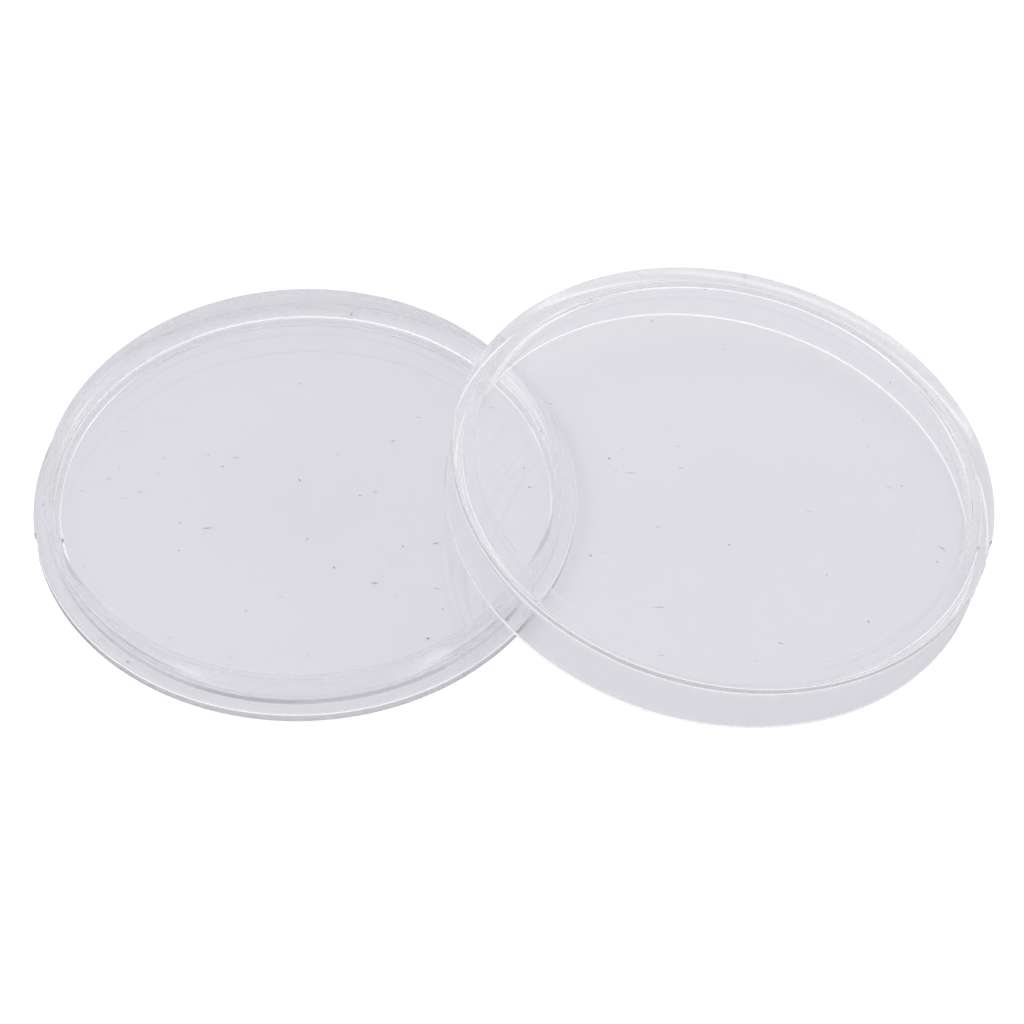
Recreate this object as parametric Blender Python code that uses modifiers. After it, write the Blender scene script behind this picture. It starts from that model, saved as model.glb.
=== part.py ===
"""A round coin capsule of two clear moulded halves, opened.

The base half lies on the table with its ring up. The cover half leans on it: the
skirt's lower edge rests on the table at one end and on the base's ring at the other.
Closed, the skirt slides down over the ring until it meets the base's flange.

Metres, +Z up. The origin is on the table, in the middle of the pair's footprint.
"""
import math

import bmesh
import bpy

MM = 0.001

# Driving dimensions of the closed capsule
COIN_DIAMETER = 46.0 * MM
COIN_PLAY = 0.1 * MM            # between the coin's edge and the ring, each side
RING_WALL = 0.7 * MM            # thickness of the base's ring at its foot
RING_HEIGHT = 3.4 * MM          # ring above the flange
FLANGE_THICKNESS = 1.0 * MM     # edge of the base's disc, which the skirt meets
FIT_CLEARANCE = 0.3 * MM        # between the ring and the skirt, each side
SKIRT_WALL = 0.9 * MM
SKIRT_DEPTH = 4.5 * MM          # inside depth of the cover half
COVER_THICKNESS = 1.5 * MM      # border of the cover's disc

# Details of the mouldings
WINDOW_DIAMETER = 45.0 * MM     # recessed window in each outer face
COVER_RECESS = 0.4 * MM
BASE_RECESS = 0.2 * MM
RING_DRAFT = 0.1 * MM           # how much the ring's outside narrows to its top
EDGE_RADIUS = 0.2 * MM          # outer edges
RIM_RADIUS = 0.12 * MM          # the thin upper edge of the ring
CORNER_RADIUS = 0.4 * MM        # inside corners between a disc and its wall
EDGE_STEPS = 2                  # facets on a quarter round
TURN_STEPS = 96                 # facets round the axis
MERGE_DISTANCE = 0.01 * MM      # closes the turned mesh at its seam and on its axis
SHARP_ANGLE = 25                # degrees; a steeper edge is shaded sharp

# How the opened halves lie
CENTRE_SPACING = 37.9 * MM      # between the two halves' centres, seen from above
REST_GAP = 0.3 * MM             # where the skirt's edge rests over the ring
LEAN_PASSES = 20                # the tilt settles well within these

# Worked out from the above
BORE_RADIUS = COIN_DIAMETER / 2 + COIN_PLAY
RING_RADIUS = BORE_RADIUS + RING_WALL
SKIRT_BORE = RING_RADIUS + FIT_CLEARANCE
OUTER_RADIUS = SKIRT_BORE + SKIRT_WALL
WINDOW_RADIUS = WINDOW_DIAMETER / 2
BASE_HEIGHT = FLANGE_THICKNESS + RING_HEIGHT
COVER_HEIGHT = SKIRT_DEPTH + COVER_THICKNESS
RIM_REACH = OUTER_RADIUS - EDGE_RADIUS      # outer edge of the flat under the skirt


def clear_scene():
    """Remove every object, so that the model is all there is."""
    for obj in list(bpy.data.objects):
        bpy.data.objects.remove(obj, do_unlink=True)


def clear_plastic(name, colour, roughness):
    """A clear moulded plastic, faintly tinted."""
    material = bpy.data.materials.new(name)
    material.use_nodes = True
    shader = material.node_tree.nodes["Principled BSDF"]
    shader.inputs["Base Color"].default_value = (*colour, 1.0)
    shader.inputs["Roughness"].default_value = roughness
    shader.inputs["Metallic"].default_value = 0.0
    shader.inputs["Transmission Weight"].default_value = 1.0
    shader.inputs["IOR"].default_value = 1.59
    material.diffuse_color = (*colour, 0.35)
    return material


def quarter_round(centre, radius, start):
    """Points of a quarter circle in the (radius, height) plane, turning clockwise.

    It starts at the angle start, in degrees from the direction away from the axis.
    """
    points = []
    for step in range(EDGE_STEPS + 1):
        angle = math.radians(start - 90 * step / EDGE_STEPS)
        points.append((centre[0] + radius * math.cos(angle), centre[1] + radius * math.sin(angle)))
    return points


def inside_corner(centre, radius, start):
    """The same quarter circle, turning the other way, for a filled corner."""
    return list(reversed(quarter_round(centre, radius, start + 90)))


def base_profile():
    """Half section of the base, from the floor's middle out, down its outside and back in."""
    rim = BASE_HEIGHT - RIM_RADIUS
    ring_top = RING_RADIUS - RING_DRAFT
    flange_edge = OUTER_RADIUS - EDGE_RADIUS
    points = [(0.0, FLANGE_THICKNESS)]
    points += inside_corner((BORE_RADIUS - CORNER_RADIUS, FLANGE_THICKNESS + CORNER_RADIUS),
                            CORNER_RADIUS, -90)
    points += quarter_round((BORE_RADIUS + RIM_RADIUS, rim), RIM_RADIUS, 180)
    points += quarter_round((ring_top - RIM_RADIUS, rim), RIM_RADIUS, 90)
    points += [(RING_RADIUS, FLANGE_THICKNESS)]
    points += quarter_round((flange_edge, FLANGE_THICKNESS - EDGE_RADIUS), EDGE_RADIUS, 90)
    points += quarter_round((flange_edge, EDGE_RADIUS), EDGE_RADIUS, 0)
    points += [(WINDOW_RADIUS + BASE_RECESS, 0.0), (WINDOW_RADIUS, BASE_RECESS), (0.0, BASE_RECESS)]
    return points


def cover_profile():
    """Half section of the cover, from the top's middle out, down its outside and back up."""
    top_edge = (OUTER_RADIUS - EDGE_RADIUS, COVER_HEIGHT - EDGE_RADIUS)
    foot_edge = (OUTER_RADIUS - EDGE_RADIUS, EDGE_RADIUS)
    points = [(0.0, COVER_HEIGHT - COVER_RECESS), (WINDOW_RADIUS, COVER_HEIGHT - COVER_RECESS)]
    points += [(WINDOW_RADIUS + COVER_RECESS, COVER_HEIGHT)]
    points += quarter_round(top_edge, EDGE_RADIUS, 90)
    points += quarter_round(foot_edge, EDGE_RADIUS, 0)
    points += quarter_round((SKIRT_BORE + EDGE_RADIUS, EDGE_RADIUS), EDGE_RADIUS, 270)
    points += inside_corner((SKIRT_BORE - CORNER_RADIUS, SKIRT_DEPTH - CORNER_RADIUS),
                            CORNER_RADIUS, 0)
    points += [(0.0, SKIRT_DEPTH)]
    return points


def turned_half(name, profile, material, collection):
    """A half turned about its own axis from its section, smooth but for its sharp edges."""
    section = bmesh.new()
    verts = [section.verts.new((radius, 0.0, height)) for radius, height in profile]
    for start, end in zip(verts, verts[1:]):
        section.edges.new((start, end))
    outline = bpy.data.meshes.new(name + "_section")
    section.to_mesh(outline)
    section.free()
    half = bpy.data.objects.new(name, outline)
    collection.objects.link(half)
    screw = half.modifiers.new("turn", "SCREW")
    screw.axis = "Z"
    screw.steps = TURN_STEPS
    screw.render_steps = TURN_STEPS
    screw.use_merge_vertices = True
    screw.merge_threshold = MERGE_DISTANCE
    turned = half.evaluated_get(bpy.context.evaluated_depsgraph_get())
    half.data = bpy.data.meshes.new_from_object(turned)
    half.data.name = name
    half.modifiers.clear()
    bpy.data.meshes.remove(outline)
    half.data.shade_smooth()
    half.data.set_sharp_from_angle(angle=math.radians(SHARP_ANGLE))
    half.data.materials.clear()
    half.data.materials.append(material)
    return half


def lean_angle():
    """Tilt at which the cover's rim meets the table at its far end and clears the ring.

    Of the places where the rim crosses the ring, the one nearest the far end decides,
    because the rim comes down towards that end.
    """
    ring_top = RING_RADIUS - RING_DRAFT
    crossing = (CENTRE_SPACING ** 2 + ring_top ** 2 - SKIRT_BORE ** 2) / (2 * CENTRE_SPACING)
    tilt = 0.0
    for _ in range(LEAN_PASSES):
        far_end = CENTRE_SPACING + RIM_REACH * math.cos(tilt)
        tilt = math.atan2(BASE_HEIGHT + REST_GAP, far_end - crossing)
    return tilt


def place(base, cover):
    """Lay the base flat and lean the cover on it, about the middle of the footprint."""
    tilt = lean_angle()
    leftmost = -OUTER_RADIUS
    top_edge = COVER_HEIGHT - EDGE_RADIUS
    rightmost = CENTRE_SPACING + OUTER_RADIUS * math.cos(tilt) + top_edge * math.sin(tilt)
    middle = (leftmost + rightmost) / 2
    base.location = (-middle, 0.0, 0.0)
    cover.location = (CENTRE_SPACING - middle, 0.0, RIM_REACH * math.sin(tilt))
    cover.rotation_euler = (0.0, tilt, 0.0)


def main():
    clear_scene()
    capsule = bpy.data.collections.new("coin_capsule")
    bpy.context.scene.collection.children.link(capsule)
    base_plastic = clear_plastic("base_clear_polystyrene", (0.80, 0.80, 0.84), 0.08)
    cover_plastic = clear_plastic("cover_clear_polystyrene", (0.82, 0.82, 0.86), 0.08)
    base = turned_half("base_half", base_profile(), base_plastic, capsule)
    cover = turned_half("cover_half", cover_profile(), cover_plastic, capsule)
    place(base, cover)


main()
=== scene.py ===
"""A round coin capsule of two clear moulded halves, lying opened on a white table.

The base half lies flat with its ring up, and the cover half leans on it, skirt down.
Metres, +Z up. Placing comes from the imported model; a half's own section is in millimetres.
"""
import math

import bmesh
import bpy
from mathutils import Matrix, Vector, noise


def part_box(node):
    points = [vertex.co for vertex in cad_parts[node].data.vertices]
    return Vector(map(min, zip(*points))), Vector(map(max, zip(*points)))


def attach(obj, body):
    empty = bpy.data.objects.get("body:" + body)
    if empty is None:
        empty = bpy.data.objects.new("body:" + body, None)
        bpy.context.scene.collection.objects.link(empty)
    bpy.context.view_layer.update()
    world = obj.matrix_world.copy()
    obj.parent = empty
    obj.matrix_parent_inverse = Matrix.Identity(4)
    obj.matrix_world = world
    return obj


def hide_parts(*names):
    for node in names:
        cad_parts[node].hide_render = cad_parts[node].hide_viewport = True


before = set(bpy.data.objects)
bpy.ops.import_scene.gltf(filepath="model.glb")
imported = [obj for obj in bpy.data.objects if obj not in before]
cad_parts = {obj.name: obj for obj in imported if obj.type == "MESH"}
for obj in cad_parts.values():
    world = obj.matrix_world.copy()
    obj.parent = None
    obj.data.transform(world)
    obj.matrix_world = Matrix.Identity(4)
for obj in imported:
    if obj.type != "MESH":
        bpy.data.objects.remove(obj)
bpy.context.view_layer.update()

MM = 0.001

# Sections of the two halves, in millimetres, as in the solid model
OUTER_RADIUS = 25.0
BORE_RADIUS = 23.1        # inside of the base's ring
RING_RADIUS = 23.8        # outside of the ring, at its foot
RING_TOP_RADIUS = 23.7    # the ring narrows a little so that it leaves the mould
BASE_HEIGHT = 4.4
FLANGE_THICKNESS = 1.0
SKIRT_BORE = 24.1
SKIRT_DEPTH = 4.5
COVER_HEIGHT = 6.0
WINDOW_RADIUS = 22.5      # recessed window in each outer face
COVER_RECESS = 0.4
BASE_RECESS = 0.2
EDGE_RADIUS = 0.2         # outer edges
RIM_RADIUS = 0.12         # the thin upper edge of the ring
CORNER_RADIUS = 0.4       # inside corners

# The scar on each outer edge where the runner of the moulding was snapped off
GATE_WIDTH = 2.6
GATE_DEPTH = 0.11
GATE_GRAIN = 0.4          # size of the roughness of the break
GATE_UNEVENNESS = 0.7     # how much the depth of the break varies
GATES = {                 # direction from the axis in degrees, and the lowest height it cuts
    "base": (197.0, 0.0),
    "cover": (345.0, COVER_HEIGHT / 2),
}

# How finely they are turned
TURN_STEPS = 720
SHARP_ANGLE = 25          # degrees; a steeper edge is shaded sharp
ROUND_STEPS = 6           # facets on a quarter round


# ---------------------------------------------------------------- helpers

def linear(code):
    """An sRGB hex colour as linear values."""
    parts = [int(code[i:i + 2], 16) / 255 for i in (1, 3, 5)]
    return [p / 12.92 if p <= 0.04045 else ((p + 0.055) / 1.055) ** 2.4 for p in parts] + [1.0]


def node(tree, kind, inputs=None, **settings):
    """Add a node: inputs holds a value or an output to link for each socket."""
    made = tree.nodes.new("ShaderNode" + kind)
    for name, value in settings.items():
        setattr(made, name, value)
    for socket, value in (inputs or {}).items():
        if isinstance(value, bpy.types.NodeSocket):
            tree.links.new(made.inputs[socket], value)
        else:
            made.inputs[socket].default_value = value
    return made


def new_material(name):
    """An empty node material, with its output node."""
    material = bpy.data.materials.new(name)
    material.use_nodes = True
    material.node_tree.nodes.clear()
    return material, material.node_tree


# ---------------------------------------------------------------- camera

LENS = 93.5                       # focal length in millimetres
SENSOR_WIDTH = 36.0
NEAR_CLIP = 0.01
CAMERA_DISTANCE = 248.35 * MM
CAMERA_ELEVATION = math.radians(50.14)
CAMERA_HEADING = math.radians(0.59)
CAMERA_ROLL = math.radians(2.58)
AIM = Vector((0.174, 0.224, 0.0)) * MM


def make_camera():
    """A long lens looking down at the pair from the front."""
    lens = bpy.data.cameras.new("camera")
    lens.lens = LENS
    lens.sensor_width = SENSOR_WIDTH
    lens.clip_start = NEAR_CLIP
    camera = bpy.data.objects.new("camera", lens)
    bpy.context.scene.collection.objects.link(camera)
    turn = (Matrix.Rotation(CAMERA_HEADING, 4, "Z")
            @ Matrix.Rotation(math.pi / 2 - CAMERA_ELEVATION, 4, "X")
            @ Matrix.Rotation(CAMERA_ROLL, 4, "Z"))
    back = Matrix.Translation((0, 0, CAMERA_DISTANCE))
    camera.matrix_world = Matrix.Translation(AIM) @ turn @ back
    bpy.context.scene.camera = camera


CLEAR_BOUNCES = 32                # light crosses many faces of the clear plastic
GLOSSY_BOUNCES = 16


def set_light_paths():
    """Let light through the plastic: stopped or blurred paths would show dark rims."""
    scene = bpy.context.scene
    scene.view_settings.view_transform = "Standard"
    scene.cycles.blur_glossy = 0.0
    scene.cycles.max_bounces = CLEAR_BOUNCES
    scene.cycles.transmission_bounces = CLEAR_BOUNCES
    scene.cycles.glossy_bounces = GLOSSY_BOUNCES


make_camera()
set_light_paths()


# ---------------------------------------------------------------- materials

POLYSTYRENE_IOR = 1.59
SIDE_SPREAD = 3.7         # so that a disc's two sides carry different marks

# Sizes on the surface, in millimetres; dust, lint and scratches are drawn coarser than
# the real ones so that they show
MARK_BEND = (0.35, 2.0)   # waves per millimetre, and how far a mark is bent off straight
SPECKS = (
    # stretch along the mark, direction in degrees, spacing, width
    (1.0, 0, 2.7, 0.24),      # dust grains
    (7.0, 35, 1.9, 0.12),     # lint of up to 0.8 mm
    (5.0, 115, 1.9, 0.12),    # and across it
)
SCRATCHES = (
    (160.0, 25, 1.9, 0.05),   # hairlines of up to 8 mm
    (120.0, 110, 2.3, 0.05),
)
DIRT_ROUGHNESS = 0.6
SCRATCH_ROUGHNESS = 0.15
WALL_ROUGHNESS = 0.06         # the walls are rubbed by the other half
GLOSS = (0.03, 0.07)          # roughness between clean and fingered plastic
HAZE_WAVES = 0.12             # finger marks about 8 mm across
SINK_WAVES = 0.16             # where the plastic shrank as it set
RING_WAVES = 1.5              # unevenness round the axis of the mould's turning rings
RING_SHARE = 0.2              # height of those rings beside the sinks
RELIEF = 0.01                 # height of the sinks
WINDOW_BLEND = 0.3            # half the width over which window turns to wall


def own_millimetres(tree, place):
    """Coordinates in a half's own frame, in millimetres, wherever the half lies."""
    lie = node(tree, "Mapping", {
        "Vector": node(tree, "TexCoord").outputs["Object"],
        "Location": place.to_translation(),
        "Rotation": place.to_euler(),
        "Scale": (MM, MM, MM),
    }, vector_type="TEXTURE")
    return lie.outputs[0]


def sparse_marks(tree, spot, stretch, turn, spacing, size):
    """1 on small marks strewn at random over a surface, 0 between them.

    The marks are up to size across, spacing apart, and stretch times longer along X.
    """
    aimed = node(tree, "Mapping", {"Vector": spot, "Rotation": (0, 0, math.radians(turn)),
                                   "Scale": (1 / stretch, 1.0, SIDE_SPREAD)})
    grains = node(tree, "TexVoronoi", {"Vector": aimed.outputs[0], "Scale": 1 / spacing})
    edge = node(tree, "MapRange", {"Value": grains.outputs["Distance"],
                                   "From Min": size / spacing / 2,
                                   "From Max": size / spacing / 4,
                                   "To Min": 0.0, "To Max": 1.0})
    return edge.outputs[0]


def most(tree, first, *rest):
    """The largest of several values."""
    for other in rest:
        first = node(tree, "Math", {0: first, 1: other}, operation="MAXIMUM").outputs[0]
    return first


def mould_waves(tree, spot, reach, wall):
    """Sinks all over, and on the walls the soft rings of the turned mould."""
    height = node(tree, "SeparateXYZ", {"Vector": spot}).outputs["Z"]
    flat = node(tree, "VectorMath", {0: spot, 1: (1.0, 1.0, 0.0)}, operation="MULTIPLY").outputs[0]
    way = node(tree, "VectorMath", {0: flat}, operation="NORMALIZE").outputs[0]
    depth = node(tree, "Math", {0: reach, 1: height}, operation="ADD").outputs[0]
    rise = node(tree, "CombineXYZ", {"Z": depth}).outputs[0]
    rings = node(tree, "VectorMath", {0: way, 1: (RING_WAVES, RING_WAVES, 0.0), 2: rise},
                 operation="MULTIPLY_ADD")
    turning = node(tree, "TexNoise", {"Vector": rings.outputs[0], "Scale": 1.0, "Detail": 0.0})
    marked = node(tree, "Math", {0: wall, 1: RING_SHARE}, operation="MULTIPLY")
    sink = node(tree, "TexNoise", {"Vector": spot, "Scale": SINK_WAVES, "Detail": 0.0})
    return node(tree, "Math", {0: turning.outputs[0], 1: marked.outputs[0], 2: sink.outputs[0]},
                operation="MULTIPLY_ADD").outputs[0]


def clear_polystyrene(name, place):
    """Polystyrene injected into a polished mould.

    It is glass-clear and hard-edged, with a slightly wavy gloss where it shrank, faint
    rings from the turned mould on its walls, and a little dust, lint and handling haze.
    """
    material, tree = new_material(name)
    spot = own_millimetres(tree, place)

    waves, sideways = MARK_BEND
    bend = node(tree, "TexNoise", {"Vector": spot, "Scale": waves, "Detail": 0.0})
    bent = node(tree, "VectorMath", {0: bend.outputs["Color"], 1: (sideways, sideways, 0.0),
                                     2: spot}, operation="MULTIPLY_ADD").outputs[0]
    dirt = most(tree, *[sparse_marks(tree, bent, *kind) for kind in SPECKS])
    scratches = most(tree, *[sparse_marks(tree, bent, *kind) for kind in SCRATCHES])

    # How rough: finger haze, then scratches, rubbed walls and dirt on top of it
    haze = node(tree, "TexNoise", {"Vector": spot, "Scale": HAZE_WAVES, "Detail": 2.0,
                                   "Roughness": 0.6})
    gloss = node(tree, "MapRange", {"Value": haze.outputs[0], "From Min": 0.35, "From Max": 0.7,
                                    "To Min": GLOSS[0], "To Max": GLOSS[1]})
    flat = node(tree, "VectorMath", {0: spot, 1: (1.0, 1.0, 0.0)}, operation="MULTIPLY").outputs[0]
    reach = node(tree, "VectorMath", {0: flat}, operation="LENGTH").outputs["Value"]
    wall = node(tree, "MapRange", {"Value": reach, "From Min": WINDOW_RADIUS - WINDOW_BLEND,
                                   "From Max": WINDOW_RADIUS + WINDOW_BLEND,
                                   "To Min": 0.0, "To Max": 1.0}).outputs[0]
    rough = gloss.outputs[0]
    for where, amount in ((scratches, SCRATCH_ROUGHNESS), (wall, WALL_ROUGHNESS),
                          (dirt, DIRT_ROUGHNESS)):
        rough = node(tree, "Math", {0: where, 1: amount, 2: rough},
                     operation="MULTIPLY_ADD").outputs[0]

    relief = node(tree, "Bump", {"Height": mould_waves(tree, spot, reach, wall),
                                 "Strength": 1.0, "Distance": RELIEF * MM})
    tint = node(tree, "Mix", {"Factor": dirt, 6: linear("#FEFEFF"), 7: linear("#8C8A92")},
                data_type="RGBA")
    clear = node(tree, "Math", {0: 1.0, 1: dirt}, operation="SUBTRACT")
    shader = node(tree, "BsdfPrincipled", {
        "Base Color": tint.outputs[2],
        "Roughness": rough,
        "Transmission Weight": clear.outputs[0],
        "IOR": POLYSTYRENE_IOR,
        "Normal": relief.outputs[0],
    })
    node(tree, "OutputMaterial", {"Surface": shader.outputs[0]})
    return material


# ---------------------------------------------------------------- the halves

def quarter_round(centre, radius, start):
    """Points of a quarter circle in the (radius, height) plane, turning clockwise from start."""
    points = []
    for step in range(ROUND_STEPS + 1):
        angle = math.radians(start - 90 * step / ROUND_STEPS)
        points.append((centre[0] + radius * math.cos(angle), centre[1] + radius * math.sin(angle)))
    return points


def inside_corner(centre, radius, start):
    """The same quarter circle, turning the other way, for a filled corner."""
    return list(reversed(quarter_round(centre, radius, start + 90)))


def base_section():
    """Half section of the base, from the floor's middle out over the ring and under."""
    rim = BASE_HEIGHT - RIM_RADIUS
    edge = OUTER_RADIUS - EDGE_RADIUS
    points = [(0.0, FLANGE_THICKNESS)]
    points += inside_corner((BORE_RADIUS - CORNER_RADIUS, FLANGE_THICKNESS + CORNER_RADIUS),
                            CORNER_RADIUS, -90)
    points += quarter_round((BORE_RADIUS + RIM_RADIUS, rim), RIM_RADIUS, 180)
    points += quarter_round((RING_TOP_RADIUS - RIM_RADIUS, rim), RIM_RADIUS, 90)
    points += [(RING_RADIUS, FLANGE_THICKNESS)]
    points += quarter_round((edge, FLANGE_THICKNESS - EDGE_RADIUS), EDGE_RADIUS, 90)
    points += quarter_round((edge, EDGE_RADIUS), EDGE_RADIUS, 0)
    points += [(WINDOW_RADIUS + BASE_RECESS, 0.0), (WINDOW_RADIUS, BASE_RECESS), (0.0, BASE_RECESS)]
    return points


def cover_section():
    """Half section of the cover, from the top's middle out, down the skirt and back up."""
    edge = OUTER_RADIUS - EDGE_RADIUS
    points = [(0.0, COVER_HEIGHT - COVER_RECESS), (WINDOW_RADIUS, COVER_HEIGHT - COVER_RECESS)]
    points += [(WINDOW_RADIUS + COVER_RECESS, COVER_HEIGHT)]
    points += quarter_round((edge, COVER_HEIGHT - EDGE_RADIUS), EDGE_RADIUS, 90)
    points += quarter_round((edge, EDGE_RADIUS), EDGE_RADIUS, 0)
    points += quarter_round((SKIRT_BORE + EDGE_RADIUS, EDGE_RADIUS), EDGE_RADIUS, 270)
    points += inside_corner((SKIRT_BORE - CORNER_RADIUS, SKIRT_DEPTH - CORNER_RADIUS),
                            CORNER_RADIUS, 0)
    points += [(0.0, SKIRT_DEPTH)]
    return points


def gate_cut(body, radius, height, angle):
    """How far the scar of the runner cuts into the outer edge, in millimetres."""
    direction, floor = GATES[body]
    away = math.remainder(angle - math.radians(direction), 2 * math.pi) * OUTER_RADIUS
    if radius < OUTER_RADIUS - EDGE_RADIUS or height < floor or abs(away) > GATE_WIDTH / 2:
        return 0.0
    grain = noise.noise(Vector((away, height, 0.0)) / GATE_GRAIN)
    return GATE_DEPTH * (1 + GATE_UNEVENNESS * grain)


def turned(body, section, place, material):
    """Turn a half's section about its axis into a closed shell, and put it in place."""
    name = body + "_shell"
    shell = bmesh.new()
    rings = []
    for radius, height in section:
        if radius == 0.0:
            rings.append([shell.verts.new((0.0, 0.0, height * MM))] * TURN_STEPS)
            continue
        ring = []
        for step in range(TURN_STEPS):
            angle = 2 * math.pi * step / TURN_STEPS
            reach = radius - gate_cut(body, radius, height, angle)
            ring.append(shell.verts.new((reach * math.cos(angle) * MM, reach * math.sin(angle) * MM,
                                         height * MM)))
        rings.append(ring)
    for upper, lower in zip(rings, rings[1:]):
        for i in range(TURN_STEPS):
            j = (i + 1) % TURN_STEPS
            corners = [upper[i], lower[i], lower[j], upper[j]]
            shell.faces.new([c for n, c in enumerate(corners) if c not in corners[:n]])
    bmesh.ops.recalc_face_normals(shell, faces=shell.faces)
    mesh = bpy.data.meshes.new(name)
    shell.to_mesh(mesh)
    shell.free()
    mesh.transform(place)
    mesh.shade_smooth()
    mesh.set_sharp_from_angle(angle=math.radians(SHARP_ANGLE))
    mesh.materials.append(material)
    piece = bpy.data.objects.new(name, mesh)
    bpy.context.scene.collection.objects.link(piece)
    return piece


def base_place():
    """The base stands upright in the middle of its solid's box."""
    low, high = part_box("base_half")
    return Matrix.Translation(((low.x + high.x) / 2, (low.y + high.y) / 2, low.z))


def cover_place():
    """The cover leans about Y: its tilt follows from how high its solid's box is."""
    low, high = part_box("cover_half")
    across = 2 * (OUTER_RADIUS - EDGE_RADIUS) * MM
    thick = (COVER_HEIGHT - 2 * EDGE_RADIUS) * MM
    rise = high.z - low.z - 2 * EDGE_RADIUS * MM
    tilt = math.asin(rise / math.hypot(across, thick)) - math.atan2(thick, across)
    return (Matrix.Translation((low + high) / 2) @ Matrix.Rotation(tilt, 4, "Y")
            @ Matrix.Translation((0, 0, -COVER_HEIGHT * MM / 2)))


for body, section, place in (("base", base_section(), base_place()),
                             ("cover", cover_section(), cover_place())):
    plastic = clear_polystyrene(f"clear_polystyrene_moulded_{body}", place)
    shell = turned(body, section, place, plastic)
    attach(shell, body)
    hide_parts(body + "_half")


# ---------------------------------------------------------------- table and light

TABLE_RADIUS = 2.0
TABLE_STEPS = 64
TABLE_DROP = 0.02 * MM            # keeps the table's face clear of the base's
TABLE_GLOW = 0.4                  # what lifts the directly seen table to white


def make_table():
    """A wide table of grey-lilac matt card, seen as white where nothing lies on it.

    The glow is only for what the camera sees directly: through the plastic, the table
    keeps the card's own colour, and it adds no light to the scene.
    """
    material, tree = new_material("table_white_matt_card")
    path = node(tree, "LightPath")
    lift = node(tree, "Math", {0: path.outputs["Is Camera Ray"], 1: TABLE_GLOW},
                operation="MULTIPLY")
    card = node(tree, "BsdfDiffuse", {"Color": linear("#DCDBE0")})
    glow = node(tree, "Emission", {"Color": linear("#FFFFFF"), "Strength": lift.outputs[0]})
    both = node(tree, "AddShader", {0: card.outputs[0], 1: glow.outputs[0]})
    node(tree, "OutputMaterial", {"Surface": both.outputs[0]})
    top = bmesh.new()
    bmesh.ops.create_circle(top, cap_ends=True, radius=TABLE_RADIUS, segments=TABLE_STEPS)
    mesh = bpy.data.meshes.new("table")
    top.to_mesh(mesh)
    top.free()
    mesh.materials.append(material)
    table = bpy.data.objects.new("table", mesh)
    table.location.z = -TABLE_DROP
    bpy.context.scene.collection.objects.link(table)


TENT_CLOTH = 1.05                 # brightness of the cloth round and above the table
LOW_BAND = (0.42, 0.26)           # lamps and gaps fade in between these rises of the view
LOW_LAMPS = (
    # azimuth in degrees from +X, sharpness, how much it adds to the cloth
    (90, 1.5, -0.80),             # the gap where the back wall meets the table
    (285, 5.0, -0.20),            # the opening that the camera looks through
    (205, 4.0, 0.50),             # lamp at the front left
    (340, 6.0, 0.70),             # lamp at the front right
)


def make_tent():
    """The inside of an even light tent, with two low lamps and two dark gaps at its foot."""
    world = bpy.data.worlds.new("light_tent")
    bpy.context.scene.world = world
    world.use_nodes = True
    tree = world.node_tree
    tree.nodes.clear()
    look = node(tree, "TexCoord").outputs["Generated"]
    rise = node(tree, "SeparateXYZ", {"Vector": look}).outputs["Z"]
    level = node(tree, "VectorMath", {0: look, 1: (1.0, 1.0, 0.0)}, operation="MULTIPLY").outputs[0]
    way = node(tree, "VectorMath", {0: level}, operation="NORMALIZE").outputs[0]
    low = node(tree, "MapRange", {"Value": rise, "From Min": LOW_BAND[0],
                                  "From Max": LOW_BAND[1],
                                  "To Min": 0.0, "To Max": 1.0}).outputs[0]
    total = TENT_CLOTH
    for azimuth, sharpness, amount in LOW_LAMPS:
        towards = (math.cos(math.radians(azimuth)), math.sin(math.radians(azimuth)), 0.0)
        facing = node(tree, "VectorMath", {0: way, 1: towards}, operation="DOT_PRODUCT")
        front = node(tree, "Math", {0: facing.outputs["Value"], 1: 0.0}, operation="MAXIMUM")
        pool = node(tree, "Math", {0: front.outputs[0], 1: sharpness}, operation="POWER")
        lamp = node(tree, "Math", {0: pool.outputs[0], 1: low}, operation="MULTIPLY")
        total = node(tree, "Math", {0: lamp.outputs[0], 1: amount, 2: total},
                     operation="MULTIPLY_ADD").outputs[0]
    cloth = node(tree, "Background", {"Color": linear("#FFFFFF"), "Strength": total})
    node(tree, "OutputWorld", {"Surface": cloth.outputs[0]})


make_table()
make_tent()
